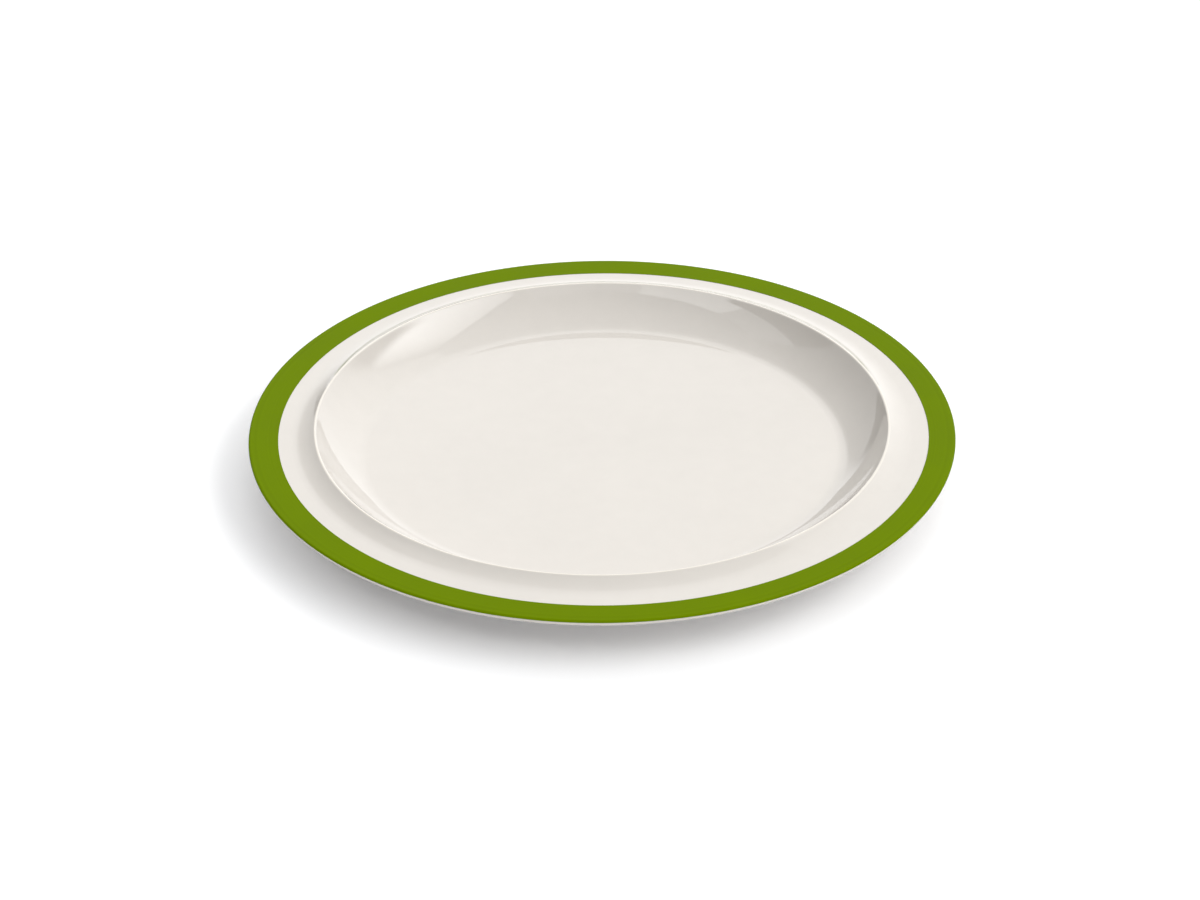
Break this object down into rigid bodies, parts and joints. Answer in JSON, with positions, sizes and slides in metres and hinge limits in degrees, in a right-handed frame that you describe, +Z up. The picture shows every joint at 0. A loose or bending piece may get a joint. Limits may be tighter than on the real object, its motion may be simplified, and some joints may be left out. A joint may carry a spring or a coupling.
{
  "type": "dinner plate",
  "caption": "Round glazed china dinner plate with a raised lip round the well, a flat rim with a green enamel band, and a foot ring.",
  "frame": {"origin": "on the plate's axis at the bare face of the foot ring, where it stands on the table", "axes": "+Z up along the plate's axis of revolution, out of the well; X and Y are any two directions across the round plate"},
  "size_m": [0.27, 0.27, 0.0213],
  "materials": {
    "bisque": "unglazed, fine matte",
    "glaze": "clear gloss over cream clay",
    "enamel": "satin olive green on-glaze enamel"
  },
  "bodies": {
    "root": {"clay_body": "bisque", "glaze_coat": "glaze", "foot_well_glaze": "glaze", "rim_band": "enamel"}
  },
  "joints": []
}
